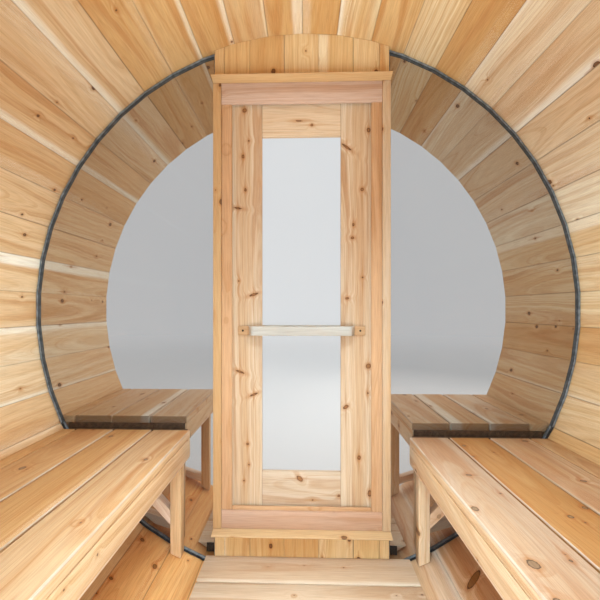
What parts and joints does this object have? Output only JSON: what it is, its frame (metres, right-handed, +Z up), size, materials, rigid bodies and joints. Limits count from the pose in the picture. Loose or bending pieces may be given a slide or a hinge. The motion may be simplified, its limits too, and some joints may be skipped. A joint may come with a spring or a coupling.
{
  "type": "barrel sauna",
  "caption": "Barrel sauna of cedar staves with a porch, a glazed front wall with a hinged door, benches along both sides and a board floor.",
  "frame": {"origin": "on the ground under the middle of the barrel", "axes": "+Y along the barrel towards the closed rear wall, so the porch and door face -Y; +Z up; +X is the left hand of a person inside who faces the door"},
  "size_m": [2.1374, 2.438, 2.2178],
  "materials": {
    "cedar": "planed, unfinished, knotty",
    "door_cedar": "planed, pale",
    "pink_cedar": "planed, pinkish",
    "handle_wood": "smooth, pale grey-white",
    "cradle_timber": "sawn",
    "tinted_glass": "bronze tint",
    "clear_glass": "clear",
    "gasket": "matt",
    "hoop_steel": "stainless",
    "hinge_steel": "black"
  },
  "bodies": {
    "sauna": {"shell_staves_top": "cedar", "shell_staves_left_upper": "cedar", "shell_staves_left_lower": "cedar", "shell_staves_right_lower": "cedar", "shell_staves_right_upper": "cedar", "hoop_bands": "hoop_steel", "cradle_front": "cradle_timber", "cradle_rear": "cradle_timber", "rear_wall": "cedar", "front_post_left": "cedar", "front_post_right": "cedar", "wall_over_door": "cedar", "wall_under_door": "cedar", "glass_left": "tinted_glass", "glass_right": "tinted_glass", "glass_gasket_left": "gasket", "glass_gasket_right": "gasket", "door_casing_left": "cedar", "door_casing_right": "cedar", "door_head_cap": "cedar", "door_sill_cap": "cedar", "door_header_board": "pink_cedar", "door_bottom_board": "pink_cedar", "door_stops": "cedar", "floor_boards_room": "cedar", "floor_boards_porch": "cedar", "floor_bearers": "cedar", "room_bench_left_boards": "cedar", "room_bench_left_frame": "cedar", "room_bench_right_boards": "cedar", "room_bench_right_frame": "cedar", "porch_bench_left_boards": "cedar", "porch_bench_left_frame": "cedar", "porch_bench_right_boards": "cedar", "porch_bench_right_frame": "cedar", "frame_hinge_leaves": "hinge_steel"},
    "door": {"door_stile_left": "door_cedar", "door_stile_right": "door_cedar", "door_top_rail": "door_cedar", "door_bottom_rail": "door_cedar", "door_glass": "clear_glass", "door_handle_inside": "handle_wood", "door_handle_outside": "handle_wood", "door_hinge_leaves": "hinge_steel"}
  },
  "joints": [
    {"name": "door_hinge", "type": "hinge", "parent": "sauna", "child": "door", "pos_m": [0.2905, -0.691, 1.147], "axis": [0, 0, 1], "range_deg": [0, 100]}
  ]
}
